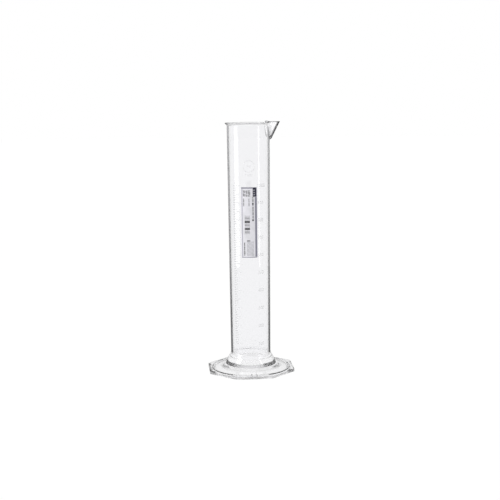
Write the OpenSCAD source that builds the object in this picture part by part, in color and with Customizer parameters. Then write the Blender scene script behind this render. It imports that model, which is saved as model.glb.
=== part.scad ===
// Graduated cylinder, 1000 ml: a clear tapered tube with a pouring lip, cemented into an octagonal foot.
// Frame: origin at the centre of the foot's resting face, +Z up the tube, +X towards the pouring lip.

/* [Tube] */
// Height of the rim above the resting face
rim_height = 430; // [400:1:450]
// Outside radius of the wall at the rim
wall_top_radius = 36.7; // [36:0.1:38]
// Outside radius of the wall at the inside floor
wall_low_radius = 34.4; // [33.5:0.1:34.9]
// Thickness of the wall
wall = 3.0; // [2.4:0.1:3.4]
// Height of the inside floor above the resting face
floor_height = 19.5; // [19:0.1:20.5]
// Thickness of the tube's floor
floor_thick = 4.0; // [3:0.1:4.5]

/* [Rim and pouring lip] */
// Outside radius of the rim flange
rim_radius = 39.8; // [39:0.1:41]
// Height of the rim flange's upright edge
rim_edge = 1.3; // [1:0.1:2]
// Reach of the lip's tip from the tube's axis
lip_reach = 56.0; // [53:0.1:58]
// Height of the lip's edge above the rim
lip_rise = 1.5; // [0:0.1:2]
// Depth of the lip below the rim
lip_depth = 29; // [24:1:32]
// Half angle of the lip's mouth around the tube
lip_half_angle = 28.5; // [24:0.5:32]
// Thickness of the lip's sides
lip_wall = 2.2; // [1.8:0.1:2.6]

/* [Foot] */
// Width of the octagonal foot across its flats
foot_width = 147; // [144:1:152]
// Height of the octagon's edge
foot_edge = 4.0; // [3.5:0.1:4.5]
// Radius of the ridge ring on the foot
ridge_radius = 67.3; // [66:0.1:68]
// Radius of the collar's bead
bead_radius = 43.1; // [42:0.1:43.8]
// Height of the middle of the collar's bead
bead_height = 13.4; // [13:0.1:14]
// Height of the collar's top edge
collar_height = 30.3; // [29:0.1:32]

/* [Scale] */
// Volume at the highest line, in millilitres
capacity = 1000; // [1000]
// Volume between two lines, in millilitres
line_step = 10; // [10, 20]
// Height of the relief above the wall
relief = 0.4; // [0.3:0.05:0.5]
// Width of a line
line_width = 0.6; // [0.4:0.05:0.7]
// Height of a number
number_height = 5.6; // [4:0.1:7]

/* [Label] */
// Height of the label's lower edge
label_low = 202.4; // [195:0.1:210]
// Length of the label up the tube
label_length = 120.6; // [115:0.1:125]
// Half angle of the label around the tube
label_half_angle = 22.2; // [20:0.1:23.5]
// Thickness of the label film
film = 0.20; // [0.15:0.01:0.25]

/* [Hidden] */
$fn = 96;

// Direction that the label and the scale face, anticlockwise from +X
front = -94.7;
// Wall gradient: growth of the radius for each millimetre of height
taper = (wall_top_radius - wall_low_radius) / (rim_height - floor_height);
// Cement film between the tube and the socket
cement = 0.2;
tube_end = floor_height - floor_thick;
lip_top = rim_height + lip_rise;
lip_low = rim_height - lip_depth;
foot_roof = tube_end - 3;
bead = 2.0;

// Outside and inside radius of the wall at a height
function outer(z) = wall_low_radius + taper * (z - floor_height);
function inner(z) = outer(z) - wall;
// Height that a volume in millilitres reaches in the tapered bore
function fill_height(ml) =
    floor_height + (pow(3000 * ml * taper / PI + pow(inner(floor_height), 3), 1 / 3)
                    - inner(floor_height)) / taper;
// Points of an arc about [x, y]
function arc(x, y, r, from, to, steps = 8) =
    [for (i = [0 : steps]) let (a = from + (to - from) * i / steps) [x + r * cos(a), y + r * sin(a)]];

// ---- Pouring lip -------------------------------------------------------------------------------

// Share of the lip's depth that a height stands at, 0 at its lower end and 1 at its edge
function lip_share(z) = max(0, min(1, (z - lip_low) / (lip_top - lip_low)));
// How far the keel's lower end stands off the wall
lip_toe = 3.0;
// Reach of the keel, which runs out straight from its lower end to the tip
function keel(z) = outer(lip_low) + lip_toe + (lip_reach - outer(lip_low) - lip_toe) * lip_share(z);
// Half width of the lip where it leaves the wall
function mouth(z) = outer(rim_height) * sin(lip_half_angle) * pow(max(lip_share(z), 0.06), 0.4);
// Ring of points across the lip at a height, moved inwards by a thickness: the V's point, its two straight
// sides run on past the wall, and a straight back inside the bore
function lip_ring(z, thickness, back) =
    let (y = mouth(z), x = sqrt(pow(outer(z), 2) - y * y), run = norm([keel(z) - x, y]))
    let (point = keel(z) - thickness * run / y, reach = (run + 3) / run)
    let (end_x = point - (keel(z) - x) * reach, end_y = y * reach)
    [[back, -0.7 * y, z], [end_x, -end_y, z], [point, 0, z], [end_x, end_y, z], [back, 0.7 * y, z]];

// Closed loft through the lip's rings
module lip_loft(low, high, thickness, back, levels = 10) {
    rings = [for (k = [0 : levels]) let (z = low + (high - low) * k / levels) lip_ring(z, thickness, back)];
    count = len(rings[0]);
    points = [for (ring = rings, p = ring) p];
    sides = [for (k = [0 : levels - 1], i = [0 : count - 1])
                 let (a = k * count + i, b = k * count + (i + 1) % count)
                 [a, a + count, b + count, b]];
    floor_face = [for (i = [0 : count - 1]) i];
    roof_face = [for (i = [count - 1 : -1 : 0]) levels * count + i];
    polyhedron(points = points, faces = concat(sides, [floor_face], [roof_face]), convexity = 4);
}

// ---- Tube --------------------------------------------------------------------------------------

// Outside of the tube as one turned solid, with the rim flange's sloping underside
module tube_outside() {
    flange_low = rim_height - rim_edge - (rim_radius - wall_top_radius);
    rotate_extrude()
        polygon([[0, tube_end], [outer(tube_end) - 0.8, tube_end], [outer(tube_end + 0.8), tube_end + 0.8],
                 [outer(flange_low), flange_low], [rim_radius, rim_height - rim_edge],
                 [rim_radius, rim_height - 0.3], [rim_radius - 0.3, rim_height], [0, rim_height]]);
}

// Bore of the tube, rounded into the floor and eased at the rim
module tube_bore() {
    corner = 3;
    rotate_extrude()
        polygon(concat([[0, floor_height]],
                       arc(inner(floor_height + corner) - corner, floor_height + corner, corner, -90, 0, 6),
                       [[inner(rim_height - 0.6), rim_height - 0.6], [inner(rim_height) + 0.6, rim_height],
                        [inner(rim_height) + 0.6, rim_height + 5], [0, rim_height + 5]]));
}

// Raised ear where the rim flange turns into the lip
module lip_ear(direction) {
    rotate([0, 0, direction * (lip_half_angle + 1.5)])
        translate([wall_top_radius - 0.2, 0, rim_height - 3.5])
            cylinder(r = 1.5, h = 5.8);
}

module measuring_tube() {
    color([0.90, 0.93, 0.95, 0.45])
        difference() {
            union() {
                tube_outside();
                lip_loft(lip_low, lip_top, 0, 25);
                lip_ear(1);
                lip_ear(-1);
            }
            tube_bore();
            lip_loft(lip_low + 3, lip_top + 3, lip_wall, 20);
        }
}

// ---- Foot --------------------------------------------------------------------------------------

// Turned outline of the foot's top: ridge ring, dome, bead and flared collar
module foot_top() {
    rotate_extrude()
        polygon(concat(
            [[0, 0.5], [ridge_radius, 0.5], [ridge_radius + 1.5, foot_edge - 0.1]],
            arc(ridge_radius, foot_edge + 0.2, 1.3, 10, 150, 6),
            [[ridge_radius - 3.5, foot_edge + 0.6], [ridge_radius - 13, foot_edge + 3.2],
             [bead_radius + 2.5, bead_height - 2.6]],
            arc(bead_radius - bead, bead_height, bead, -60, 50, 6),
            [[bead_radius - 1.3, bead_height + 3.6], [bead_radius - 3.7, bead_height + 8.2],
             [bead_radius - 6.4, bead_height + 12.4], [outer(collar_height) + 0.9, collar_height - 1.4],
             [outer(collar_height) + 0.6, collar_height], [0, collar_height]]));
}

// Hollow under the foot, following the dome
module foot_hollow() {
    rotate_extrude()
        polygon([[0, -1], [ridge_radius - 2.6, -1], [ridge_radius - 3.2, 1.4], [ridge_radius - 13, 4.2],
                 [bead_radius + 0.5, 7.6], [bead_radius - 5, 9.4], [bead_radius - 8.4, foot_roof],
                 [0, foot_roof]]);
}

// Socket that takes the tube's lower end
module foot_socket() {
    rotate_extrude()
        polygon([[0, tube_end], [outer(tube_end) + cement, tube_end],
                 [outer(collar_height + 2) + cement, collar_height + 2], [0, collar_height + 2]]);
}

// Short upright rib under the front of the dome, drawn tall so that it meets the dome
module foot_rib(angle) {
    rotate([0, 0, angle])
        translate([ridge_radius - 14, -0.7, 1.2])
            cube([20, 1.4, 12]);
}

module octagonal_foot() {
    color([0.88, 0.92, 0.94, 0.45])
        difference() {
            union() {
                rotate([0, 0, 22.5])
                    cylinder(r = foot_width / 2 / cos(22.5), h = foot_edge, $fn = 8);
                foot_top();
            }
            difference() {
                foot_hollow();
                foot_rib(front + 1.2);
                foot_rib(front + 9.2);
            }
            foot_socket();
        }
}

module weld_ring() {
    color([0.80, 0.86, 0.90, 0.6])
        rotate_extrude()
            polygon([[outer(tube_end + 0.8), tube_end + 0.8],
                     [outer(tube_end + 0.8) + cement, tube_end + 0.8],
                     [outer(collar_height) + cement, collar_height],
                     [outer(collar_height) + 0.7, collar_height],
                     [outer(collar_height + 1.4), collar_height + 1.4]]);
}

// ---- Scale -------------------------------------------------------------------------------------

// Strip of relief on the wall between two angles, measured from the front
module wall_strip(low, high, from, to, height) {
    rotate([0, 0, front + from])
        rotate_extrude(angle = to - from)
            polygon([[outer(low), low], [outer(low) + height, low],
                     [outer(high) + height, high], [outer(high), high]]);
}

// Angle at which a line ends, by what it counts
function line_end(ml) = ml % 100 == 0 ? -24.5 : ml % 50 == 0 ? -29 : -37;

module graduation_lines() {
    color([0.75, 0.80, 0.84, 0.8])
        for (ml = [100 : line_step : capacity])
            wall_strip(fill_height(ml) - line_width / 2, fill_height(ml) + line_width / 2,
                       -48, line_end(ml), relief);
}

// Upright or slanting bar of a number, from [x, y] to [u, v] in shares of the number's height
module bar(x, y, u, v) {
    run = norm([u - x, v - y]);
    translate([x, y])
        rotate(atan2(v - y, u - x))
            translate([-stroke / 2, -stroke / 2])
                square([run + stroke, stroke]);
}

// Part of a round stroke about [x, y], from one angle to another
module bow(x, y, r, from, to) {
    translate([x, y])
        intersection() {
            difference() {
                circle(r = r + stroke / 2, $fn = 48);
                circle(r = r - stroke / 2, $fn = 48);
            }
            polygon(concat([[0, 0]], arc(0, 0, 3 * r, from, to, 6)));
        }
}

// Stroke width and the figures, drawn in a box one unit high and 0.56 wide
stroke = 0.15;
module figure(n) {
    if (n == 0) {
        bow(0.28, 0.72, 0.205, 0, 180);
        bow(0.28, 0.28, 0.205, 180, 360);
        bar(0.075, 0.32, 0.075, 0.68);
        bar(0.485, 0.32, 0.485, 0.68);
    }
    if (n == 1) {
        bar(0.30, 0.075, 0.30, 0.925);
        bar(0.12, 0.76, 0.28, 0.91);
    }
    if (n == 2) {
        bow(0.28, 0.69, 0.235, -25, 170);
        bar(0.075, 0.075, 0.49, 0.58);
        bar(0.075, 0.075, 0.485, 0.075);
    }
    if (n == 3) {
        bow(0.26, 0.71, 0.215, -80, 160);
        bow(0.26, 0.29, 0.215, -160, 80);
    }
    if (n == 4) {
        bar(0.40, 0.075, 0.40, 0.925);
        bar(0.075, 0.34, 0.39, 0.91);
        bar(0.075, 0.31, 0.53, 0.31);
    }
    if (n == 5) {
        bow(0.26, 0.32, 0.245, -155, 125);
        bar(0.11, 0.53, 0.13, 0.925);
        bar(0.13, 0.925, 0.47, 0.925);
    }
    if (n == 6) {
        bow(0.28, 0.29, 0.215, 0, 360);
        bar(0.09, 0.36, 0.36, 0.91);
    }
    if (n == 7) {
        bar(0.075, 0.925, 0.48, 0.925);
        bar(0.21, 0.075, 0.47, 0.90);
    }
    if (n == 8) {
        bow(0.28, 0.72, 0.19, 0, 360);
        bow(0.28, 0.29, 0.215, 0, 360);
    }
    if (n == 9) {
        bow(0.28, 0.71, 0.215, 0, 360);
        bar(0.47, 0.64, 0.20, 0.09);
    }
}

// One figure raised on the wall: pressed through a thin ring so that its face follows the wall
module wall_figure(height, size, angle, n) {
    rotate([0, 0, front + angle])
        intersection() {
            translate([30, 0, height - size / 2])
                rotate([90, 0, 90])
                    linear_extrude(10)
                        scale(size)
                            translate([-0.28, 0])
                                figure(n);
            rotate([0, 0, -8])
                rotate_extrude(angle = 16)
                    polygon([[outer(height - size), height - size],
                             [outer(height - size) + relief, height - size],
                             [outer(height + size) + relief, height + size],
                             [outer(height + size), height + size]]);
        }
}

module graduation_numerals() {
    pitch = 6.4;
    color([0.75, 0.80, 0.84, 0.8])
        for (hundreds = [1 : capacity / 100]) {
            figures = hundreds < 10 ? [hundreds, 0, 0] : [1, 0, 0, 0];
            for (i = [0 : len(figures) - 1])
                wall_figure(fill_height(100 * hundreds), number_height, 26 + pitch * i, figures[i]);
        }
}

// Round raised mark that carries the unit, with the capacity under it
module unit_mark() {
    height = 358;
    mark = 10.0;
    letter = 6;
    pitch = 5.2;
    color([0.75, 0.80, 0.84, 0.8]) {
        for (i = [0 : 3])
            wall_figure(height - 14.5, 4.6, pitch * (i - 1.5), i == 0 ? 1 : 0);
        rotate([0, 0, front])
            intersection() {
                translate([30, 0, height])
                    rotate([90, 0, 90])
                        linear_extrude(10) {
                            difference() {
                                circle(r = mark);
                                circle(r = mark - 0.8);
                            }
                            scale(letter)
                                translate([-0.62, -0.4])
                                    unit_letters();
                        }
                rotate([0, 0, -20])
                    rotate_extrude(angle = 40)
                        polygon([[outer(height - 12), height - 12],
                                 [outer(height - 12) + relief, height - 12],
                                 [outer(height + 12) + relief, height + 12],
                                 [outer(height + 12), height + 12]]);
            }
    }
}

// The letters m and l, drawn in a box one unit high
module unit_letters() {
    for (x = [0.075, 0.435, 0.795])
        bar(x, 0.075, x, 0.48);
    for (x = [0.255, 0.615])
        bow(x, 0.47, 0.18, 0, 180);
    bar(1.10, 0.075, 1.10, 0.925);
}

// ---- Label -------------------------------------------------------------------------------------

module label_film() {
    color([0.93, 0.93, 0.96])
        wall_strip(label_low, label_low + label_length, -label_half_angle, label_half_angle, film);
}

// Printed block on the film, given by shares of the label's length and half width
module ink(low, high, from, to) {
    z0 = label_low + label_length * low;
    z1 = label_low + label_length * high;
    rotate([0, 0, front + label_half_angle * from])
        rotate_extrude(angle = label_half_angle * (to - from))
            polygon([[outer(z0) + film, z0], [outer(z0) + film + 0.05, z0],
                     [outer(z1) + film + 0.05, z1], [outer(z1) + film, z1]]);
}

module label_print() {
    color([0.20, 0.22, 0.42]) {
        // Border along the four edges, heavier at the right
        ink(0.004, 0.013, -0.98, 0.98);
        ink(0.982, 0.996, -0.98, 0.98);
        ink(0.016, 0.979, -0.98, -0.92);
        ink(0.016, 0.979, 0.87, 0.98);
        // Solid block in the upper corner
        ink(0.865, 0.974, 0.46, 0.84);
        // Column of bars across the film, every sixth one broad
        for (i = [0 : 15])
            ink(0.342 + 0.0166 * i, 0.342 + 0.0166 * i + (i % 6 == 4 ? 0.013 : 0.006), -0.56, 0.08);
        // Lines of print that run up the label: two groups at the top, one at the right between two dots
        for (x = [-0.72, -0.40, -0.06], k = [0, 1])
            ink(0.745 + 0.125 * k, 0.825 + 0.125 * k, x, x + 0.12);
        ink(0.560, 0.745, 0.44, 0.50);
        ink(0.755, 0.775, 0.40, 0.55);
        ink(0.525, 0.545, 0.40, 0.55);
        // Lines of print at the bottom
        ink(0.030, 0.225, -0.68, -0.54);
        for (x = [-0.30 : 0.20 : 0.50])
            ink(0.030, 0.250, x, x + 0.07);
    }
}

measuring_tube();
octagonal_foot();
weld_ring();
graduation_lines();
graduation_numerals();
unit_mark();
label_film();
label_print();
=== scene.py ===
"""Clear plastic graduated cylinder: its pieces, finishes, studio and camera, built round the frame."""

import logging
import math
from dataclasses import dataclass, field
from enum import Enum, IntEnum
from typing import Iterable, Sequence

import bpy
import numpy as np
from mathutils import Matrix, Vector


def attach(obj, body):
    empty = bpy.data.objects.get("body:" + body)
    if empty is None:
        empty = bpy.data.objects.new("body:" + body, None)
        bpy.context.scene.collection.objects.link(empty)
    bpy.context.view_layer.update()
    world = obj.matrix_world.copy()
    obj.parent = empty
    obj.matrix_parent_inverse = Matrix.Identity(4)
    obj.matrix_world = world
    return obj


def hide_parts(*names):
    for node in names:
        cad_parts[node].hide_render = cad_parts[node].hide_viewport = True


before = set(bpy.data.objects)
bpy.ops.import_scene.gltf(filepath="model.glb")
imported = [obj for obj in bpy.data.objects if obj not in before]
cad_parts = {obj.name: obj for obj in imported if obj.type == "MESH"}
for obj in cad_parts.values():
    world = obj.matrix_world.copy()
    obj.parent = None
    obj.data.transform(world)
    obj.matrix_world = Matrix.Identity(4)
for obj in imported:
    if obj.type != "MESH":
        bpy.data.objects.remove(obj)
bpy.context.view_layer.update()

MM = 0.001
LOG = logging.getLogger("graduated_cylinder")
WHITE = "#FFFFFF"

# Points of an outline: distance from the axis and height, in millimetres.
Outline = list[tuple[float, float]]


# ---- Colours and nodes -------------------------------------------------------------------------


def linear(colour: str, alpha: float = 1.0) -> tuple[float, float, float, float]:
    """Turns an sRGB hex colour to the linear values that shaders take.

    Args:
        colour: six hex digits with a leading hash.
        alpha: opacity to append.

    Returns:
        Linear red, green, blue and alpha.
    """
    parts = [int(colour[i : i + 2], 16) / 255 for i in (1, 3, 5)]
    lin = [c / 12.92 if c <= 0.04045 else ((c + 0.055) / 1.055) ** 2.4 for c in parts]
    return (lin[0], lin[1], lin[2], alpha)


def add_node(
    tree: bpy.types.NodeTree,
    kind: str,
    settings: dict[str | int, object] | None = None,
    links: dict[str | int, bpy.types.NodeSocket] | None = None,
) -> bpy.types.Node:
    """Adds one node with its settings and incoming links.

    Args:
        tree: node tree that receives the node.
        kind: Blender's type name of the node.
        settings: socket names or numbers, or node properties, with their values.
        links: socket names or numbers with the outputs that feed them.

    Returns:
        The new node.
    """
    node = tree.nodes.new(kind)
    for name, value in (settings or {}).items():
        if isinstance(name, int) or name in node.inputs:
            node.inputs[name].default_value = value
        else:
            setattr(node, name, value)
    for name, source in (links or {}).items():
        tree.links.new(source, node.inputs[name])
    return node


def new_material(name: str) -> bpy.types.Material:
    """Makes an empty node material.

    Args:
        name: the material's name.

    Returns:
        The material, with no nodes in it.
    """
    material = bpy.data.materials.new(name)
    material.use_nodes = True
    material.node_tree.nodes.clear()
    return material


def mirrored_share(tree: bpy.types.NodeTree, path: bpy.types.Node) -> bpy.types.NodeSocket:
    """Returns 1 for light that mirrors off a gloss surface and 0 for light that passes through it.

    Args:
        tree: node tree that receives the node.
        path: its light path node.

    Returns:
        The share, as a node's output.
    """
    share = add_node(
        tree,
        "ShaderNodeMath",
        {"operation": "SUBTRACT", "use_clamp": True},
        {0: path.outputs["Is Glossy Ray"], 1: path.outputs["Is Transmission Ray"]},
    )
    return share.outputs[0]


def finish_surface(material: bpy.types.Material, shader: bpy.types.Node) -> bpy.types.Node:
    """Feeds a shader to the material's output and returns that output node."""
    return add_node(material.node_tree, "ShaderNodeOutputMaterial", links={"Surface": shader.outputs[0]})


# ---- Finishes ----------------------------------------------------------------------------------


@dataclass(frozen=True)
class ClearMoulding:
    """Styrene-acrylonitrile moulded against polished steel: water-clear and glossy, with painted shade
    edge-on.

    The faint upright ripple is the flow of the melt up the core. Where a wall is seen edge-on, its colour is
    mixed towards a grey that is painted shade, darker towards the bottom. That painted shade comes in between
    two facing values, counted from 0 face-on to 1 edge-on. The face-on colour is the plastic's own, with
    painted shade on some faces. A face that rubs on the bench is scuffed: its roughness is higher and its
    clarity lower.
    """

    name: str
    # The face-on colour is the plastic's own, with painted shade on some faces; the edge-on colours are
    # painted shade.
    tint: str = "#FAFAFB"
    edge_high: str = "#7A7A7C"
    edge_low: str = "#101011"
    edge_from: float = 0.51
    edge_to: float = 0.62
    ior: float = 1.57
    roughness: float = 0.02
    clarity: float = 1.0
    ripple_mm: float = 9.0
    ripple_stretch: float = 0.06
    ripple_strength: float = 0.05
    ripple_depth_mm: float = 0.3
    low_mm: float = 100.0
    high_mm: float = 400.0

    @classmethod
    def even(cls, name: str, edge: str, **values: str | float) -> "ClearMoulding":
        """Returns the moulding with one painted edge shade all the way up."""
        return cls(name, edge_high=edge, edge_low=edge, **values)

    def edge_colour(self, tree: bpy.types.NodeTree, place: bpy.types.Node) -> bpy.types.NodeSocket:
        """Mixes the colour seen face-on with painted shade seen edge-on, darker towards the bottom.

        Args:
            tree: the material's node tree.
            place: its texture coordinates.

        Returns:
            The mixed colour.
        """
        # Painted shade: a grey mixed in by facing angle where the surface is seen edge-on, darker towards the
        # bottom.
        split = add_node(tree, "ShaderNodeSeparateXYZ", links={0: place.outputs["Object"]})
        depth = add_node(
            tree,
            "ShaderNodeMapRange",
            {"From Min": self.high_mm * MM, "From Max": self.low_mm * MM},
            {"Value": split.outputs["Z"]},
        )
        edge = add_node(
            tree,
            "ShaderNodeMix",
            {"data_type": "RGBA", 6: linear(self.edge_high), 7: linear(self.edge_low)},
            {0: depth.outputs[0]},
        )
        facing = add_node(tree, "ShaderNodeLayerWeight", {"Blend": 0.5})
        share = add_node(
            tree,
            "ShaderNodeMapRange",
            {"interpolation_type": "SMOOTHSTEP", "From Min": self.edge_from, "From Max": self.edge_to},
            {"Value": facing.outputs["Facing"]},
        )
        mixed = add_node(
            tree,
            "ShaderNodeMix",
            {"data_type": "RGBA", 6: linear(self.tint)},
            {0: share.outputs[0], 7: edge.outputs[2]},
        )
        return mixed.outputs[2]

    def build(self) -> bpy.types.Material:
        """Builds the node material.

        Returns:
            Clear plastic with a soft ripple and painted shade at its edges.
        """
        material = new_material(self.name)
        tree = material.node_tree
        place = add_node(tree, "ShaderNodeTexCoord")
        stretch = add_node(
            tree,
            "ShaderNodeMapping",
            {"Scale": (1.0, 1.0, self.ripple_stretch)},
            {"Vector": place.outputs["Object"]},
        )
        ripple = add_node(
            tree,
            "ShaderNodeTexNoise",
            {"Scale": 1 / (self.ripple_mm * MM), "Detail": 3.0, "Roughness": 0.45},
            {"Vector": stretch.outputs[0]},
        )
        bump = add_node(
            tree,
            "ShaderNodeBump",
            {"Strength": self.ripple_strength, "Distance": self.ripple_depth_mm * MM},
            {"Height": ripple.outputs["Fac"]},
        )
        shader = add_node(
            tree,
            "ShaderNodeBsdfPrincipled",
            {"Roughness": self.roughness, "IOR": self.ior, "Transmission Weight": self.clarity},
            {"Base Color": self.edge_colour(tree, place), "Normal": bump.outputs["Normal"]},
        )
        finish_surface(material, shader)
        return material


@dataclass(frozen=True)
class BondedFace:
    """Plastic wetted by solvent cement: the two mouldings have become one, and the face between is unseen."""

    name: str

    def build(self) -> bpy.types.Material:
        """Builds the node material.

        Returns:
            A surface that lets everything through unbent.
        """
        material = new_material(self.name)
        shader = add_node(
            material.node_tree,
            "ShaderNodeBsdfPrincipled",
            {"Base Color": linear(WHITE), "Alpha": 0.0, "Specular IOR Level": 0.0},
        )
        finish_surface(material, shader)
        return material


@dataclass(frozen=True)
class VinylFilm:
    """White calendered vinyl film: satin, finely grained, and faintly uneven over its adhesive."""

    name: str
    colour: str = "#DEDDE3"
    shade: str = "#D2D2D6"
    roughness: float = 0.42
    cloud_mm: float = 12.0
    grain_mm: float = 0.35
    grain_depth_mm: float = 0.02

    def build(self) -> bpy.types.Material:
        """Builds the node material.

        Returns:
            Satin white film with soft tone clouds and a fine grain.
        """
        material = new_material(self.name)
        tree = material.node_tree
        place = add_node(tree, "ShaderNodeTexCoord")
        cloud = add_node(
            tree,
            "ShaderNodeTexNoise",
            {"Scale": 1 / (self.cloud_mm * MM), "Detail": 2.0},
            {"Vector": place.outputs["Object"]},
        )
        tone = add_node(tree, "ShaderNodeValToRGB", links={"Fac": cloud.outputs["Fac"]})
        stops = tone.color_ramp.elements
        stops[0].position, stops[0].color = 0.35, linear(self.colour)
        stops[1].position, stops[1].color = 0.70, linear(self.shade)
        grain = add_node(
            tree,
            "ShaderNodeTexNoise",
            {"Scale": 1 / (self.grain_mm * MM), "Detail": 2.0},
            {"Vector": place.outputs["Object"]},
        )
        bump = add_node(
            tree,
            "ShaderNodeBump",
            {"Strength": 0.12, "Distance": self.grain_depth_mm * MM},
            {"Height": grain.outputs["Fac"]},
        )
        shader = add_node(
            tree,
            "ShaderNodeBsdfPrincipled",
            {"Roughness": self.roughness, "IOR": 1.5},
            {"Base Color": tone.outputs["Color"], "Normal": bump.outputs["Normal"]},
        )
        finish_surface(material, shader)
        return material


@dataclass(frozen=True)
class PrintingInk:
    """Printing ink laid on vinyl by a rubber plate: thin and matt, mottled where it lies unevenly."""

    name: str
    colour: str
    worn: str
    mottle_mm: float = 0.8
    roughness: float = 0.55

    def build(self) -> bpy.types.Material:
        """Builds the node material.

        Returns:
            Matt ink that breaks up a little.
        """
        material = new_material(self.name)
        tree = material.node_tree
        place = add_node(tree, "ShaderNodeTexCoord")
        mottle = add_node(
            tree,
            "ShaderNodeTexNoise",
            {"Scale": 1 / (self.mottle_mm * MM), "Detail": 3.0, "Roughness": 0.6},
            {"Vector": place.outputs["Object"]},
        )
        tone = add_node(tree, "ShaderNodeValToRGB", links={"Fac": mottle.outputs["Fac"]})
        stops = tone.color_ramp.elements
        stops[0].position, stops[0].color = 0.40, linear(self.colour)
        stops[1].position, stops[1].color = 0.78, linear(self.worn)
        shader = add_node(
            tree,
            "ShaderNodeBsdfPrincipled",
            {"Roughness": self.roughness, "IOR": 1.5},
            {"Base Color": tone.outputs["Color"]},
        )
        finish_surface(material, shader)
        return material


@dataclass(frozen=True)
class StudioFloor:
    """Seamless white paper lit from below and above, so that it stays white to its edge."""

    name: str = "white_paper"
    colour: str = "#1A1A1A"
    glow: float = 1.0
    mirrored: float = 0.45

    def build(self) -> bpy.types.Material:
        """Builds the node material.

        Returns:
            Paper that gives off and scatters white light.
        """
        material = new_material(self.name)
        tree = material.node_tree
        path = add_node(tree, "ShaderNodeLightPath")
        glow = add_node(
            tree,
            "ShaderNodeMath",
            {"operation": "MULTIPLY_ADD", 1: self.mirrored - self.glow, 2: self.glow},
            {0: mirrored_share(tree, path)},
        )
        shader = add_node(
            tree,
            "ShaderNodeBsdfPrincipled",
            {
                "Base Color": linear(self.colour),
                "Roughness": 0.9,
                "Specular IOR Level": 0.0,
                "Emission Color": linear(WHITE),
            },
            {"Emission Strength": glow.outputs[0]},
        )
        finish_surface(material, shader)
        return material


# ---- Outlines and meshes -----------------------------------------------------------------------


@dataclass(frozen=True)
class Corner:
    """A corner of a turned outline, in millimetres: its distance from the axis, height and easing radius."""

    r: float
    z: float
    ease: float = 0.0


def eased(corners: Sequence[Corner], steps: int = 5) -> Outline:
    """Rounds the corners of an outline with curves.

    Args:
        corners: the outline's corners in order; its two ends are kept as they are.
        steps: pieces in each curve.

    Returns:
        Points of the eased outline.
    """
    out: Outline = [(corners[0].r, corners[0].z)]
    for before, here, after in zip(corners, corners[1:], corners[2:]):
        at = np.array((here.r, here.z))
        to_before = np.array((before.r, before.z)) - at
        to_after = np.array((after.r, after.z)) - at
        run_a, run_b = np.linalg.norm(to_before), np.linalg.norm(to_after)
        a, b = to_before / run_a, to_after / run_b
        half = math.acos(float(np.clip(np.dot(a, b), -1, 1))) / 2
        if here.ease <= 0 or half > math.radians(89):
            out.append((here.r, here.z))
            continue
        back = min(here.ease / math.tan(half), 0.48 * run_a, 0.48 * run_b)
        start, stop = at + a * back, at + b * back
        for i in range(steps + 1):
            t = i / steps
            point = (1 - t) ** 2 * start + 2 * t * (1 - t) * at + t**2 * stop
            out.append((float(point[0]), float(point[1])))
    out.append((corners[-1].r, corners[-1].z))
    return out


def spaced(points: Sequence[tuple[float, float]], longest: float) -> Outline:
    """Splits long stretches of an outline.

    Args:
        points: the outline.
        longest: longest stretch wanted, in millimetres.

    Returns:
        The outline with added points.
    """
    out = [points[0]]
    for (r0, z0), (r1, z1) in zip(points, points[1:]):
        count = max(1, math.ceil(math.hypot(r1 - r0, z1 - z0) / longest))
        out += [(r0 + (r1 - r0) * i / count, z0 + (z1 - z0) * i / count) for i in range(1, count + 1)]
    return out


def add_object(
    name: str,
    points: np.ndarray,
    faces: Iterable[Sequence[int]],
    materials: Sequence[bpy.types.Material],
    slots: Sequence[int] | None = None,
    crease: float = 38.0,
) -> bpy.types.Object:
    """Makes a shaded mesh object.

    Args:
        name: name of the object and its mesh.
        points: vertices in millimetres, one row each.
        faces: vertex numbers of each face.
        materials: the object's materials.
        slots: material number of each face.
        crease: angle in degrees above which an edge is drawn sharp.

    Returns:
        The object, linked to the scene.
    """
    mesh = bpy.data.meshes.new(name)
    mesh.from_pydata((np.asarray(points, dtype=float) * MM).tolist(), [], [tuple(f) for f in faces])
    for material in materials:
        mesh.materials.append(material)
    if slots is not None:
        mesh.polygons.foreach_set("material_index", [int(slot) for slot in slots])
    mesh.polygons.foreach_set("use_smooth", [True] * len(mesh.polygons))
    mesh.validate()
    mesh.update()
    mesh.set_sharp_from_angle(angle=math.radians(crease))
    thing = bpy.data.objects.new(name, mesh)
    bpy.context.scene.collection.objects.link(thing)
    return thing


def ring(radius: np.ndarray | float, angles: np.ndarray, heights: np.ndarray | float) -> np.ndarray:
    """Returns points round the axis, one row for each angle in radians."""
    cosines, sines = np.cos(angles), np.sin(angles)
    return np.stack([radius * cosines, radius * sines, heights + np.zeros_like(angles)], axis=-1)


def turned(
    rows: np.ndarray, low_pole: Sequence[float], high_pole: Sequence[float]
) -> tuple[np.ndarray, list[tuple[int, ...]]]:
    """Skins rings of points that share one count, closing both ends on the axis.

    Args:
        rows: array of rings by angle by coordinate, in millimetres, angles anticlockwise.
        low_pole: point on the axis that the first ring closes on.
        high_pole: point on the axis that the last ring closes on.

    Returns:
        Vertices, and faces whose normals point away from the solid.
    """
    count, around = rows.shape[:2]
    points = np.vstack([rows.reshape(-1, 3), [low_pole], [high_pole]])
    low, high = count * around, count * around + 1
    faces: list[tuple[int, ...]] = []
    for k in range(count - 1):
        for n in range(around):
            m = (n + 1) % around
            faces.append((k * around + n, k * around + m, (k + 1) * around + m, (k + 1) * around + n))
    faces += [(low, (n + 1) % around, n) for n in range(around)]
    last = (count - 1) * around
    faces += [(high, last + n, last + (n + 1) % around) for n in range(around)]
    return points, faces


def smooth_step(x: np.ndarray | float, low: float, high: float) -> np.ndarray | float:
    """Returns 0 below low, 1 above high and a smooth rise between them."""
    t = np.clip((x - low) / (high - low), 0, 1)
    return t * t * (3 - 2 * t)


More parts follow.
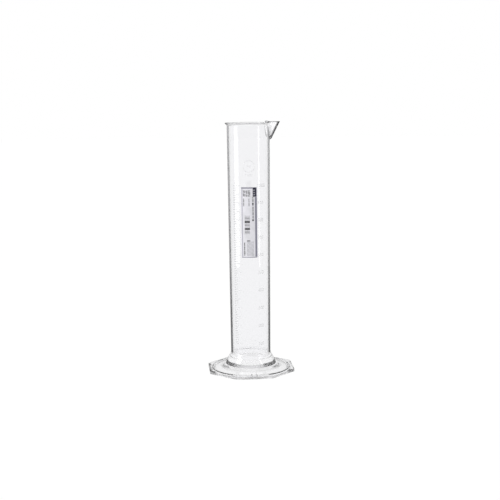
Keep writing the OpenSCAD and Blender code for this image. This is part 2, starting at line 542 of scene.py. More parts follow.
def soft_max(a: np.ndarray, b: np.ndarray, blend: float) -> np.ndarray:
    """Returns the larger of two values, with the change between them rounded over a width."""
    h = np.clip(0.5 + 0.5 * (a - b) / blend, 0, 1)
    return b * (1 - h) + a * h + blend * h * (1 - h) * 0.5


# ---- Tube --------------------------------------------------------------------------------------


@dataclass
class Wall:
    """The tube's tapered wall, in millimetres and in degrees anticlockwise from the lip."""

    rim: float = 430.0
    floor: float = 19.5
    top_radius: float = 36.7
    low_radius: float = 34.4
    thickness: float = 3.0
    front: float = -94.7

    @property
    def rim_clear(self) -> float:
        """Radius that only the lip reaches past, beside the wall."""
        return self.top_radius + 0.8

    def outer(self, z: float | np.ndarray) -> float | np.ndarray:
        """Returns the outside radius at a height."""
        share = (z - self.floor) / (self.rim - self.floor)
        return self.low_radius + (self.top_radius - self.low_radius) * share

    def inner(self, z: float | np.ndarray) -> float | np.ndarray:
        """Returns the inside radius at a height."""
        return self.outer(z) - self.thickness

    def fill_height(self, millilitres: float) -> float:
        """Works out the height that a volume reaches in the tapered bore.

        Args:
            millilitres: the volume.

        Returns:
            The height of the liquid's surface, in millimetres.
        """
        taper = (self.top_radius - self.low_radius) / (self.rim - self.floor)
        base = self.inner(self.floor)
        return self.floor + ((3000 * millilitres * taper / math.pi + base**3) ** (1 / 3) - base) / taper

    def place(self, across: np.ndarray, up: np.ndarray, out: np.ndarray | float) -> np.ndarray:
        """Maps positions on the unrolled wall to space.

        Args:
            across: distance round the wall to the right of its front.
            up: height above the resting face.
            out: height above the wall's surface.

        Returns:
            One row of coordinates for each position.
        """
        across, up = np.asarray(across, dtype=float), np.asarray(up, dtype=float)
        radius = self.outer(up)
        angle = math.radians(self.front) + across / radius
        return np.stack([(radius + out) * np.cos(angle), (radius + out) * np.sin(angle), up], axis=-1)


@dataclass
class PouringLip:
    """V-shaped lip pushed out of the wall at the rim, in millimetres."""

    wall: Wall
    reach: float = 56.0
    rise: float = 1.5
    depth: float = 29.0
    half_angle: float = 28.5
    thickness: float = 2.2
    nose: float = 3.0
    point_width: float = 0.030
    blend: float = 1.2
    ear: float = 0.75

    @property
    def low(self) -> float:
        """Height of the lip's lower end."""
        return self.wall.rim - self.depth

    def share(self, z: np.ndarray) -> np.ndarray:
        """Returns how far up the lip a height is, from 0 to 1."""
        return np.clip((z - self.low) / (self.depth + self.rise), 0, 1)

    def side(self, angle: np.ndarray, z: np.ndarray, inset: float) -> np.ndarray:
        """Works out the radius of the V's straight sides.

        Args:
            angle: direction from the lip, in radians.
            z: height.
            inset: distance that the side is moved inwards.

        Returns:
            Radius of the side in that direction, or a small number beyond the lip.
        """
        share = self.share(z)
        toe = self.wall.outer(self.low) + self.nose
        keel = toe + (self.reach - toe) * share
        # The V opens fast above its lower end, where it keeps a little width.
        widest = self.wall.outer(self.wall.rim) * math.sin(math.radians(self.half_angle))
        half_width = widest * np.maximum(share, 0.06) ** 0.4
        base = np.sqrt(self.wall.outer(z) ** 2 - half_width**2)
        run = np.hypot(keel - base, half_width)
        # The two sides meet at the keel in a small round instead of an edge.
        sine = np.sqrt(np.sin(angle) ** 2 + self.point_width**2) - self.point_width * 0.3
        radius = (half_width * keel / run - inset) * run / (half_width * np.cos(angle) + (keel - base) * sine)
        # The sides grow out of the wall at the lip's lower end, and sink into it past the edges of the V.
        wall = self.wall.outer(z) - inset
        start, stop = (self.low + 1.0, self.low + 7.0) if inset > 0 else (self.low - 1.6, self.low + 1.6)
        grown = wall - self.blend + (radius - wall + self.blend) * smooth_step(z, start, stop)
        beyond = np.degrees(np.abs(angle)) - self.half_angle
        return np.where(beyond < 22, grown - 5.0 * smooth_step(beyond, 1, 9), 0.0)

    def edge_rise(self, angle: np.ndarray) -> np.ndarray:
        """Works out how far the rim's edge is lifted, with a small ear at each side of the lip.

        Args:
            angle: direction from the lip, in radians.

        Returns:
            Height above the rim in each direction.
        """
        degrees = np.degrees(np.abs(angle))
        lifted = self.rise * (1 - smooth_step(degrees, self.half_angle - 1, self.half_angle + 4))
        ear = self.ear * np.exp(-(((degrees - self.half_angle - 0.5) / 2.2) ** 2))
        return lifted + ear


class TubeFace(IntEnum):
    """Faces of the tube that have a finish of their own."""

    OUTSIDE = 0
    BONDED = 1
    BORE = 2
    NOSE = 3
    RIM_EDGE = 4
    FLANGE = 5
    FLANK = 6


@dataclass
class MeasuringTube:
    """Tapered tube with its floor, rim flange and lip, turned from one outline and pushed out at the lip."""

    wall: Wall
    lip: PouringLip
    floor_thickness: float = 4.0
    rim_radius: float = 39.8
    rim_edge: float = 1.3
    floor_ease: float = 3.0
    bonded_to: float = 31.7
    nose_width: float = 8.0
    lead_in: float = 4.0
    fine_step: float = 1.1
    plain_step: float = 14.0
    around: int = 400

    @property
    def end(self) -> float:
        """Height of the tube's closed end."""
        return self.wall.floor - self.floor_thickness

    @property
    def flange_low(self) -> float:
        """Height at which the rim's flange starts to stand out."""
        return self.wall.rim - self.rim_edge - (self.rim_radius - self.wall.top_radius)

    @property
    def lip_from(self) -> float:
        """Height a little below the lip, from which the wall is finely divided."""
        return self.lip.low - self.lead_in

    def at_lip(self, z: float) -> bool:
        """Tells whether a height is beside the lip."""
        return z >= self.lip_from - 0.01

    def angles(self) -> np.ndarray:
        """Returns directions round the tube, closer together at the lip."""
        even = np.linspace(-math.pi, math.pi, self.around, endpoint=False)
        return even - 0.42 * np.sin(even)

    def divided(self, points: Outline) -> Outline:
        """Splits an outline's long stretches, and every stretch beside the lip.

        Args:
            points: the outline of the outside or of the bore.

        Returns:
            The outline with added points.
        """
        fine = spaced([p for p in points if self.at_lip(p[1])], self.fine_step)
        plain = [p for p in points if not self.at_lip(p[1])]
        rising = points[0][1] < points[-1][1]
        return spaced(plain + fine if rising else fine + plain, self.plain_step)

    def outside(self) -> Outline:
        """Draws the outside, from the closed end up and over the flange.

        Returns:
            The outline's points.
        """
        wall, end = self.wall, self.end
        corners = [
            Corner(0.6 * wall.inner(end), end),
            Corner(wall.outer(end), end, 0.8),
            Corner(wall.outer(self.bonded_to), self.bonded_to),
            Corner(wall.outer(self.lip_from), self.lip_from),
            Corner(wall.outer(self.flange_low), self.flange_low, 0.8),
            Corner(self.rim_radius, wall.rim - self.rim_edge, 0.35),
            Corner(self.rim_radius, wall.rim, 0.35),
            Corner(self.rim_radius - 1.2, wall.rim),
        ]
        return self.divided(eased(corners))

    def bore(self) -> Outline:
        """Draws the bore, from the rim down to the floor.

        Returns:
            The outline's points.
        """
        wall = self.wall
        corners = [
            Corner(wall.inner(wall.rim) + 1.2, wall.rim),
            Corner(wall.inner(wall.rim), wall.rim, 0.6),
            Corner(wall.inner(self.lip_from), self.lip_from),
            Corner(wall.inner(wall.floor + 12), wall.floor + 12),
            Corner(wall.inner(wall.floor), wall.floor, self.floor_ease),
            Corner(0.5 * wall.inner(wall.floor), wall.floor),
        ]
        return self.divided(eased(corners))

    def rings(self, outline: Outline, outer_count: int) -> np.ndarray:
        """Turns the outline about the axis and pushes it out at the lip.

        Args:
            outline: the outside's points, then the bore's.
            outer_count: how many of them are the outside's.

        Returns:
            Array of rings by angle by coordinate.
        """
        wall, lip, angles = self.wall, self.lip, self.angles()
        lift = lip.edge_rise(angles)
        rows = []
        for k, (r, z) in enumerate(outline):
            heights = z + lift * smooth_step(z, wall.rim - 7, wall.rim)
            radius = np.full_like(angles, r)
            # The inset carries the rounding of the rim's edge out along the lip.
            if self.at_lip(z) and k < outer_count:
                inset = max(0.0, self.rim_radius - r) if z > wall.rim - 0.4 else 0.0
                radius = soft_max(radius, lip.side(angles, heights, 0.0) - inset, lip.blend)
            elif self.at_lip(z):
                inset = max(0.0, r - wall.inner(wall.rim)) if z > wall.rim - 0.7 else 0.0
                radius = soft_max(radius, lip.side(angles, heights, lip.thickness) + inset, lip.blend)
            rows.append(ring(radius, angles, heights))
        return np.array(rows)

    def lip_face(
        self, corners: np.ndarray, lower: tuple[float, float], upper: tuple[float, float]
    ) -> TubeFace | None:
        """Picks the finish of an outside face at the lip or the flange.

        Args:
            corners: the face's corners, one row each.
            lower: the outline's point at the face's lower side.
            upper: the outline's point at its upper side.

        Returns:
            The face's finish, or nothing for a face of the plain wall.
        """
        wall, lip = self.wall, self.lip
        along, aside, low = corners[:, 0], np.abs(corners[:, 1]).max(), corners[:, 2].min()
        # The nose, the rim's edge and the lip's flanks are picked out here for their painted shade.
        if aside < self.nose_width * (0.75 - 0.25 * float(lip.share(low))) and along.min() > wall.rim_clear:
            return TubeFace.NOSE
        if min(lower[0], upper[0]) > self.rim_radius - 0.5 and lower[1] > wall.rim - self.rim_edge - 0.1:
            return TubeFace.RIM_EDGE
        if lower[1] > self.flange_low - 0.7:
            return TubeFace.FLANGE
        if along.min() > 0.95 * wall.top_radius and along.max() < wall.rim_clear + 2 and low > lip.low + 3:
            return TubeFace.FLANK
        return None

    def face_slots(
        self, points: np.ndarray, faces: Sequence[Sequence[int]], outline: Outline, outer_count: int
    ) -> list[TubeFace]:
        """Gives each face its finish.

        Args:
            points: the tube's vertices.
            faces: vertex numbers of each face.
            outline: the outside's points, then the bore's.
            outer_count: how many of them are the outside's.

        Returns:
            The finish of each face.
        """
        around = self.around
        outer, rings = (outer_count - 1) * around, (len(outline) - 1) * around
        slots = [TubeFace.OUTSIDE] * outer + [TubeFace.BORE] * (rings - outer)
        slots += [TubeFace.BONDED] * around + [TubeFace.BORE] * around
        for i in range(outer):
            lower, upper = outline[i // around : i // around + 2]
            if upper[1] <= self.bonded_to + 0.01:
                slots[i] = TubeFace.BONDED
            slots[i] = self.lip_face(points[list(faces[i])], lower, upper) or slots[i]
        return slots

    def build(self, finishes: dict[TubeFace, bpy.types.Material]) -> bpy.types.Object:
        """Builds the tube.

        Args:
            finishes: the material of each kind of face.

        Returns:
            The tube's object.
        """
        outside = self.outside()
        outline = outside + self.bore()
        rows = self.rings(outline, len(outside))
        points, faces = turned(rows, (0, 0, self.end), (0, 0, self.wall.floor))
        slots = self.face_slots(points, faces, outline, len(outside))
        tube = add_object("measuring_tube_clear", points, faces, [finishes[face] for face in TubeFace], slots)
        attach(tube, "root")
        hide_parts("measuring_tube")
        return tube


# ---- Foot --------------------------------------------------------------------------------------


class FootFace(IntEnum):
    """Faces of the foot that have a finish of their own."""

    PLAIN = 0
    BONDED = 1
    BEAD = 2
    RIDGE = 3
    RIB = 4
    SIDE = 5


@dataclass
class OctagonalFoot:
    """Moulded foot: octagonal plate, ridge ring, dome, bead, flared collar and socket, hollow below."""

    wall: Wall
    across_flats: float = 147.0
    edge: float = 4.0
    ridge: float = 67.3
    bead_radius: float = 43.1
    bead_height: float = 13.4
    collar_top: float = 30.3
    socket_floor: float = 15.5
    roof: float = 12.5
    cement: float = 0.2
    corner_power: float = 120.0
    rib_angles: tuple[float, float] = (1.2, 9.2)
    rib_width: float = 1.4
    rib_low: float = 1.2
    rib_from: float = 14.0
    rib_to: float = 3.0
    longest: float = 3.0
    around: int = 720

    def octagon(self, angles: np.ndarray) -> np.ndarray:
        """Works out the octagon's radius, its flats square to X and Y and its corners eased.

        Args:
            angles: directions, in radians.

        Returns:
            Radius in each direction.
        """
        flats = [np.maximum(np.cos(angles - k * math.pi / 4), 0.0) for k in range(8)]
        total = sum(f**self.corner_power for f in flats)
        return self.across_flats / 2 / total ** (1 / self.corner_power)

    def under_ribs(self, radius: float) -> bool:
        """Tells whether a ring of the hollow runs under the ribs."""
        return self.ridge - self.rib_from < radius < self.ridge - self.rib_to

    def rib_height(self, angles: np.ndarray, radius: float, height: float) -> np.ndarray:
        """Works out the hollow's height round one ring, let down where a rib stands.

        Args:
            angles: directions, in radians.
            radius: the ring's radius.
            height: the ring's height beside the ribs.

        Returns:
            Height in each direction.
        """
        heights = np.full_like(angles, height)
        if self.under_ribs(radius):
            for offset in self.rib_angles:
                turn = math.radians(self.wall.front + offset)
                away = np.abs(np.angle(np.exp(1j * (angles - turn)))) * radius
                heights = np.where(away < self.rib_width / 2, min(height, self.rib_low), heights)
        return heights

    def below(self) -> Outline:
        """Draws the hollow, from the axis out to the ring face that rests on the bench.

        Returns:
            The outline's points.
        """
        b, r = self.bead_radius, self.ridge
        corners = [
            Corner(12.0, self.roof),
            Corner(b - 8.4, self.roof, 1.5),
            Corner(b - 5.0, 9.4, 1.5),
            Corner(b + 0.5, 7.6, 6.0),
            Corner(r - 13.0, 4.2, 20.0),
            Corner(r - 3.2, 1.4, 1.0),
            Corner(r - 2.6, 0.0, 0.3),
            Corner(r + 2.0, 0.0),
        ]
        return spaced(eased(corners), self.longest)

    def above(self) -> Outline:
        """Draws the upper side, from the plate in over the ridge, dome, bead and collar, and down the socket.

        Returns:
            The outline's points.
        """
        b, r = self.bead_radius, self.ridge
        plate, bead_top = self.edge, self.bead_height
        socket_top = self.wall.outer(self.collar_top) + self.cement
        corners = [
            Corner(r + 2.2, plate + 0.02),
            Corner(r + 1.4, plate + 0.1, 0.5),
            Corner(r + 0.7, plate + 1.5, 0.7),
            Corner(r - 0.7, plate + 1.5, 0.7),
            Corner(r - 2.0, plate + 0.6, 1.2),
            Corner(r - 5.0, plate + 0.9, 4.0),
            Corner(r - 13.0, plate + 3.2, 22.0),
            Corner(b + 3.2, bead_top - 2.7, 2.5),
            Corner(b + 0.6, bead_top - 2.2, 0.7),
            Corner(b + 0.0, bead_top + 0.4, 1.3),
            Corner(b - 1.3, bead_top + 3.6, 3.5),
            Corner(b - 3.7, bead_top + 8.2, 6.0),
            Corner(b - 6.4, bead_top + 12.4, 4.0),
            Corner(socket_top + 0.7, self.collar_top - 1.4, 1.0),
            Corner(socket_top + 0.4, self.collar_top, 0.15),
            Corner(socket_top, self.collar_top),
            Corner(self.wall.outer(self.socket_floor) + self.cement, self.socket_floor),
            Corner(12.0, self.socket_floor),
        ]
        return spaced(eased(corners), self.longest)

    def side(self) -> Outline:
        """Draws the octagon's side face with its eased edges.

        Returns:
            Distances in from the octagon, with their heights.
        """
        top = self.edge
        low = [(0.45, 0.0), (0.13, 0.13), (0.0, 0.45), (0.0, 1.3)]
        return low + [(0.0, top - 1.0), (0.0, top - 0.6), (0.17, top - 0.17), (0.6, top)]

    def ring_slots(self, above: Outline, first: int) -> dict[int, FootFace]:
        """Finds the bands of the upper side that have a finish of their own.

        Args:
            above: the outline of the upper side.
            first: number of its first ring in the foot.

        Returns:
            The finish of each such band, by the number of its ring.
        """
        b, r = self.bead_radius, self.ridge
        slots = {}
        for k, ((r0, _), (r1, _)) in enumerate(zip(above, above[1:])):
            near, far = min(r0, r1), max(r0, r1)
            # The bead and the ridge are picked out for their painted shade.
            if near > b - 1.5 and far < b + 0.7:
                slots[first + k] = FootFace.BEAD
            if near > r - 2.1 and far < r + 1.5:
                slots[first + k] = FootFace.RIDGE
        socket = next(k for k, (_, z) in enumerate(above) if abs(z - self.collar_top) < 1e-6)
        slots.update({first + k: FootFace.BONDED for k in range(socket, len(above))})
        return slots

    def build(self, finishes: dict[FootFace, bpy.types.Material]) -> bpy.types.Object:
        """Builds the foot.

        Args:
            finishes: the material of each kind of face.

        Returns:
            The foot's object.
        """
        below, side, above = self.below(), self.side(), self.above()
        angles = np.linspace(0, 2 * math.pi, self.around, endpoint=False)
        rim = self.octagon(angles)
        rows = [ring(r, angles, self.rib_height(angles, r, z)) for r, z in below]
        rows += [ring(rim - inset, angles, z) for inset, z in side]
        rows += [ring(r, angles, z) for r, z in above]
        points, faces = turned(np.array(rows), (0, 0, self.roof), (0, 0, self.socket_floor))

        bands = {len(below) + k: FootFace.SIDE for k in range(len(side) - 1)}
        bands.update(self.ring_slots(above, len(below) + len(side)))
        slots = [bands.get(k, FootFace.PLAIN) for k in range(len(rows) - 1) for _ in range(self.around)]
        slots += [FootFace.PLAIN] * self.around + [FootFace.BONDED] * self.around
        for i in range((len(below) - 1) * self.around):
            corners = points[list(faces[i])]
            # The ribs are picked out to take the nose's painted shade.
            if corners[:, 2].min() < self.rib_low + 0.05 and self.under_ribs(np.hypot(*corners[0, :2])):
                slots[i] = FootFace.RIB
        foot = add_object("octagonal_foot_clear", points, faces, [finishes[face] for face in FootFace], slots)
        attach(foot, "root")
        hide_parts("octagonal_foot")
        return foot


@dataclass
class WeldRing:
    """Ring of solvent cement between the tube and the socket, with its bead on the top of the collar."""

    wall: Wall
    foot: OctagonalFoot
    bead: float = 1.4
    bead_width: float = 0.45
    bead_sides: tuple[int, ...] = (3, 4, 5)
    stands_off: float = 0.8
    around: int = 256

    def build(self, clear: bpy.types.Material, bonded: bpy.types.Material) -> bpy.types.Object:
        """Builds the ring.

        Args:
            clear: finish of the bead that shows.
            bonded: finish of the faces inside the joint.

        Returns:
            The ring's object.
        """
        wall, foot = self.wall, self.foot
        low, top = foot.socket_floor + self.stands_off, foot.collar_top
        socket = wall.outer(top) + foot.cement
        outline = [
            (wall.outer(low), low),
            (wall.outer(low) + foot.cement, low),
            (socket, top),
            (socket + self.bead_width, top),
            (socket + 0.22, top + 0.25 * self.bead),
            (socket, top + 0.5 * self.bead),
            (wall.outer(top + self.bead), top + self.bead),
        ]
        angles = np.linspace(0, 2 * math.pi, self.around, endpoint=False)
        points = np.vstack([ring(r, angles, z) for r, z in outline])
        count = len(outline)
        faces, slots = [], []
        for k in range(count):
            for n in range(self.around):
                a, b = k * self.around, (k + 1) % count * self.around
                m = (n + 1) % self.around
                faces.append((a + n, a + m, b + m, b + n))
                slots.append(0 if k in self.bead_sides else 1)
        weld = add_object("weld_ring_cement", points, faces, [clear, bonded], slots)
        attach(weld, "root")
        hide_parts("weld_ring")
        return weld


# ---- Relief ------------------------------------------------------------------------------------


@dataclass(frozen=True)
class Bar:
    """Straight stroke of a figure from (x, y) to (u, v), in shares of its height."""

    x: float
    y: float
    u: float
    v: float

    def path(self) -> np.ndarray:
        """Returns the stroke's points."""
        t = np.linspace(0, 1, 5)[:, None]
        return np.array([[self.x, self.y]]) * (1 - t) + np.array([[self.u, self.v]]) * t


@dataclass(frozen=True)
class Bow:
    """Round stroke of a figure about a centre, in shares of its height, between two angles in degrees."""

    x: float
    y: float
    radius: float
    start: float
    stop: float

    def path(self) -> np.ndarray:
        """Works out the stroke's points.

        Returns:
            One row for each point.
        """
        count = max(6, int(abs(self.stop - self.start) / 18) + 1)
        a = np.radians(np.linspace(self.start, self.stop, count))
        return np.stack([self.x + self.radius * np.cos(a), self.y + self.radius * np.sin(a)], axis=-1)


FIGURES: dict[str, list[Bar | Bow]] = {
    "0": [Bow(0.28, 0.72, 0.205, 0, 180), Bow(0.28, 0.28, 0.205, 180, 360), Bar(0.075, 0.28, 0.075, 0.72),
          Bar(0.485, 0.28, 0.485, 0.72)],
    "1": [Bar(0.30, 0.075, 0.30, 0.925), Bar(0.12, 0.76, 0.28, 0.91)],
    "2": [Bow(0.28, 0.69, 0.235, -25, 170), Bar(0.075, 0.075, 0.49, 0.58), Bar(0.075, 0.075, 0.485, 0.075)],
    "3": [Bow(0.26, 0.71, 0.215, -80, 160), Bow(0.26, 0.29, 0.215, -160, 80)],
    "4": [Bar(0.40, 0.075, 0.40, 0.925), Bar(0.075, 0.32, 0.39, 0.91), Bar(0.075, 0.31, 0.53, 0.31)],
    "5": [Bow(0.26, 0.32, 0.245, -155, 125), Bar(0.11, 0.53, 0.13, 0.925), Bar(0.13, 0.925, 0.47, 0.925)],
    "6": [Bow(0.28, 0.29, 0.215, 0, 360), Bar(0.09, 0.36, 0.36, 0.91)],
    "7": [Bar(0.075, 0.925, 0.48, 0.925), Bar(0.21, 0.075, 0.47, 0.90)],
    "8": [Bow(0.28, 0.72, 0.19, 0, 360), Bow(0.28, 0.29, 0.215, 0, 360)],
    "9": [Bow(0.28, 0.71, 0.215, 0, 360), Bar(0.47, 0.64, 0.20, 0.09)],
    "m": [Bar(0.075, 0.075, 0.075, 0.60), Bar(0.435, 0.075, 0.435, 0.47), Bar(0.795, 0.075, 0.795, 0.47),
          Bow(0.255, 0.47, 0.18, 0, 180), Bow(0.615, 0.47, 0.18, 0, 180)],
    "l": [Bar(0.075, 0.075, 0.075, 0.925)],
}


@dataclass
class Relief:
    """Round-backed ridges raised on the wall along drawn strokes."""

    wall: Wall
    height: float = 0.27
    sunk: float = 0.06
    section: int = 6
    points: list[np.ndarray] = field(default_factory=list)
    faces: list[tuple[int, ...]] = field(default_factory=list)

    def ridge(self, path: np.ndarray, width: float) -> None:
        """Adds one ridge.

        Args:
            path: points on the unrolled wall, across and up, in millimetres.
            width: the ridge's width in millimetres.
        """
        run = np.gradient(path, axis=0)
        run /= np.linalg.norm(run, axis=1)[:, None]
        side = np.stack([-run[:, 1], run[:, 0]], axis=-1)
        ends = np.ones(len(path))
        cap = np.array([0.25, 0.75])
        path = np.vstack([path[0] - run[0] * width * 0.5, path[0] - run[0] * width * 0.3, path,
                          path[-1] + run[-1] * width * 0.3, path[-1] + run[-1] * width * 0.5])
        side = np.vstack([side[:1], side[:1], side, side[-1:], side[-1:]])
        scale = np.concatenate([cap, ends, cap[::-1]])
        turn = np.linspace(0, math.pi, self.section)
        start = sum(len(p) for p in self.points)
        ring_size = self.section + 2
        for at, across, size in zip(path, side, scale):
            offset = np.cos(turn) * width / 2 * size
            out = np.sin(turn) * self.height * size
            offset = np.concatenate([offset, [-width / 2 * size, width / 2 * size]])
            out = np.concatenate([out, [-self.sunk, -self.sunk]])
            flat = at[None, :] + across[None, :] * offset[:, None]
            self.points.append(self.wall.place(flat[:, 0], flat[:, 1], out))
        rings = len(path)
        for k in range(rings - 1):
            for i in range(ring_size):
                j = (i + 1) % ring_size
                a, b = start + k * ring_size, start + (k + 1) * ring_size
                self.faces.append((a + i, b + i, b + j, a + j))
        self.faces.append(tuple(start + i for i in range(ring_size)))
        last = start + (rings - 1) * ring_size
        self.faces.append(tuple(last + i for i in reversed(range(ring_size))))

    def write(self, text: str, across: float, up: float, size: float, pitch: float, width: float) -> None:
        """Adds a row of figures.

        Args:
            text: the figures, from left to right.
            across: place of the row's left edge to the right of the front.
            up: height of the row's middle.
            size: height of a figure.
            pitch: distance from one figure to the next.
            width: stroke width.
        """
        for i, letter in enumerate(text):
            for stroke in FIGURES[letter]:
                flat = stroke.path() * size
                self.ridge(flat + np.array([across + i * pitch, up - size / 2]), width)

    def build(self, name: str, node: str, material: bpy.types.Material) -> bpy.types.Object:
        """Makes the object from every ridge added so far.

        Args:
            name: the object's name.
            node: the frame's node that it stands for.
            material: its finish.

        Returns:
            The relief's object.
        """
        relief = add_object(name, np.vstack(self.points), self.faces, [material], crease=60)
        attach(relief, "root")
        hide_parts(node)
        return relief


@dataclass
class VolumeScale:
    """Raised volume lines, their numbers, and the round unit mark above them.

    The lines run from one shared start on the left to an end that depends on the volume, in degrees from the
    front. The other sizes are in millimetres.
    """

    wall: Wall
    capacity: int = 1000
    first: int = 100
    step: int = 10
    line_start: float = -48.0
    hundred_end: float = -24.5
    fifty_end: float = -29.0
    ten_end: float = -37.0
    line_width: float = 0.6
    line_step: float = 1.2
    number_size: float = 5.6
    number_angle: float = 26.0
    number_pitch: float = 3.9
    number_stroke: float = 0.7
    mark_height: float = 358.0
    mark_radius: float = 9.6
    mark_stroke: float = 0.8
    unit_size: float = 6.0
    capacity_size: float = 4.6
    capacity_drop: float = 14.5
    capacity_stroke: float = 0.6

    def line_end(self, millilitres: int) -> float:
        """Picks where a volume's line ends: the rounder the volume, the longer its line.

        Args:
            millilitres: the volume.

        Returns:
            Angle in degrees from the front.
        """
        if millilitres % 100 == 0:
            return self.hundred_end
        return self.fifty_end if millilitres % 50 == 0 else self.ten_end

    def lines(self, material: bpy.types.Material) -> bpy.types.Object:
        """Builds the volume lines.

        Args:
            material: their finish.

        Returns:
            The lines' object.
        """
        relief = Relief(self.wall)
        for millilitres in range(self.first, self.capacity + 1, self.step):
            up = self.wall.fill_height(millilitres)
            radius = self.wall.outer(up)
            span = np.radians([self.line_start, self.line_end(millilitres)]) * radius
            count = max(4, int(abs(span[1] - span[0]) / self.line_step))
            across = np.linspace(span[0], span[1], count)
            relief.ridge(np.stack([across, np.full_like(across, up)], axis=-1), self.line_width)
        return relief.build("graduation_lines_raised", "graduation_lines", material)

    def numbers(self, material: bpy.types.Material) -> bpy.types.Object:
        """Builds the numbers beside the longest lines.

        Args:
            material: their finish.

        Returns:
            The numbers' object.
        """
        relief = Relief(self.wall)
        for millilitres in range(self.first, self.capacity + 1, 100):
            up = self.wall.fill_height(millilitres)
            size, pitch = self.number_size, self.number_pitch
            across = math.radians(self.number_angle) * self.wall.outer(up) - 0.28 * size
            relief.write(str(millilitres), across, up, size, pitch, self.number_stroke)
        return relief.build("graduation_numerals_raised", "graduation_numerals", material)

    def unit_mark(self, material: bpy.types.Material) -> bpy.types.Object:
        """Builds the ring with the unit in it and the capacity under it.

        Args:
            material: their finish.

        Returns:
            The mark's object.
        """
        relief = Relief(self.wall)
        turn = np.linspace(0, 2 * math.pi, 49)
        circle = self.mark_radius * np.stack([np.cos(turn), np.sin(turn)], axis=-1)
        relief.ridge(circle + np.array([0.0, self.mark_height]), self.mark_stroke)
        relief.write("ml", -3.6, self.mark_height, self.unit_size, 6.1, self.mark_stroke)
        low = self.mark_height - self.capacity_drop
        relief.write(str(self.capacity), -6.4, low, self.capacity_size, 3.3, self.capacity_stroke)
        return relief.build("unit_mark_raised", "unit_mark", material)


# ---- Label -------------------------------------------------------------------------------------


class InkColour(Enum):
    """Inks on the label, each with its colour and its colour where it lies thin."""

    NAVY = ("#16152E", "#222140")
    SLATE = ("#7C7B8A", "#8F8E9B")
    HAZE = ("#A3A2AE", "#B2B1BC")
    GREY = ("#94949A", "#A9A9AE")
    BLACK = ("#060608", "#141417")
    PALE = ("#D9D9E0", "#C6C6D0")


@dataclass
class PrintedLayer:
    """Flat printed shapes laid on the film, gathered into one mesh."""

    label: "Label"
    sunk: float = 0.01
    points: list[np.ndarray] = field(default_factory=list)
    faces: list[tuple[int, ...]] = field(default_factory=list)
    slots: list[int] = field(default_factory=list)

    def patch(
        self, low: float, high: float, left: float, right: float, ink: InkColour, lift: float = 0.0
    ) -> None:
        """Adds a rectangle, given by shares of the film's length and of its half width.

        Args:
            low: share of the length at its lower side.
            high: share of the length at its upper side.
            left: share of the half width at its left side, negative left of the front.
            right: share of the half width at its right side.
            ink: what it is printed with.
            lift: how far it lies above ink printed before it, in millimetres.
        """
        label = self.label
        base = label.off_wall + label.film - self.sunk + lift
        across = np.linspace(left, right, max(2, int((right - left) * 16) + 1)) * label.half_width
        start, wide = sum(len(p) for p in self.points), len(across)
        for height in (label.low + low * label.length, label.low + high * label.length):
            for out in (base, base + label.ink):
                self.points.append(label.wall.place(across, np.full_like(across, height), out))
        corners = [start, start + wide, start + 3 * wide, start + 2 * wide]
        for n in range(wide - 1):
            for i in range(4):
                a, b = corners[i] + n, corners[(i + 1) % 4] + n
                self.faces.append((a, a + 1, b + 1, b))
        self.faces.append(tuple(corners))
        self.faces.append(tuple(c + wide - 1 for c in reversed(corners)))
        self.slots += [list(InkColour).index(ink)] * (4 * (wide - 1) + 2)

    def words(self, low: float, high: float, left: float, right: float, ink: InkColour, beat: int) -> None:
        """Adds a line of dashes that runs up the label, grouped like words.

        Args:
            low: share of the length at which the line starts.
            high: share of the length at which it ends.
            left: share of the half width at its left side.
            right: share of the half width at its right side.
            ink: what it is printed with.
            beat: where in the rhythm of short and long dashes the line starts.
        """
        at = low
        while at < high:
            dash = 0.006 + 0.004 * (beat * 7 % 3)
            self.patch(at, min(at + dash, high), left, right, ink)
            at += dash + (0.010 if beat % 4 == 3 else 0.0035)
            beat += 1

    def borders(self) -> None:
        """Prints the border, the dark corner block and the block's three pale marks."""
        self.patch(0.004, 0.013, -0.98, 0.98, InkColour.SLATE)
        self.patch(0.980, 0.997, -0.98, 0.44, InkColour.SLATE)
        self.patch(0.016, 0.979, -0.93, -0.82, InkColour.HAZE)
        self.patch(0.016, 0.862, 0.73, 0.98, InkColour.SLATE)
        self.patch(0.865, 0.995, 0.46, 0.89, InkColour.NAVY)
        self.patch(0.865, 0.995, 0.90, 0.98, InkColour.SLATE)
        for i in range(3):
            self.patch(0.885 + 0.032 * i, 0.900 + 0.032 * i, 0.58, 0.68, InkColour.PALE, 0.03)

    def headings(self) -> None:
        """Prints three short columns of dark words at the top."""
        for column in range(3):
            left = -0.74 + 0.33 * column
            for line in range(2):
                start = left + 0.13 * line
                self.words(0.870, 0.955, start, start + 0.09, InkColour.BLACK, column + line)
            if column != 1:
                self.words(0.735, 0.840, left + 0.03, left + 0.12, InkColour.BLACK, 2 * column)

    def bar_strip(self) -> None:
        """Prints the strip of thick and thin bars, its line of small dashes and the two blocks on it."""
        for i in range(16):
            thick = 0.021 if i % 6 == 4 else 0.0034 + 0.0016 * (i * 5 % 3)
            base = 0.345 + 0.0166 * i - thick / 2
            self.patch(base, base + thick, -0.56, 0.08, InkColour.BLACK)
        self.words(0.560, 0.860, 0.42, 0.54, InkColour.BLACK, 1)
        for centre in (0.535, 0.765):
            self.patch(centre - 0.012, centre + 0.012, 0.38, 0.56, InkColour.BLACK)

    def small_print(self) -> None:
        """Prints a dark line and six grey ones at the bottom, with a bar above them."""
        self.words(0.030, 0.225, -0.67, -0.54, InkColour.BLACK, 3)
        self.patch(0.236, 0.248, -0.30, 0.10, InkColour.BLACK)
        for column in range(6):
            left = -0.30 + 0.145 * column
            self.words(0.030, 0.232, left, left + 0.075, InkColour.GREY, 5 * column)


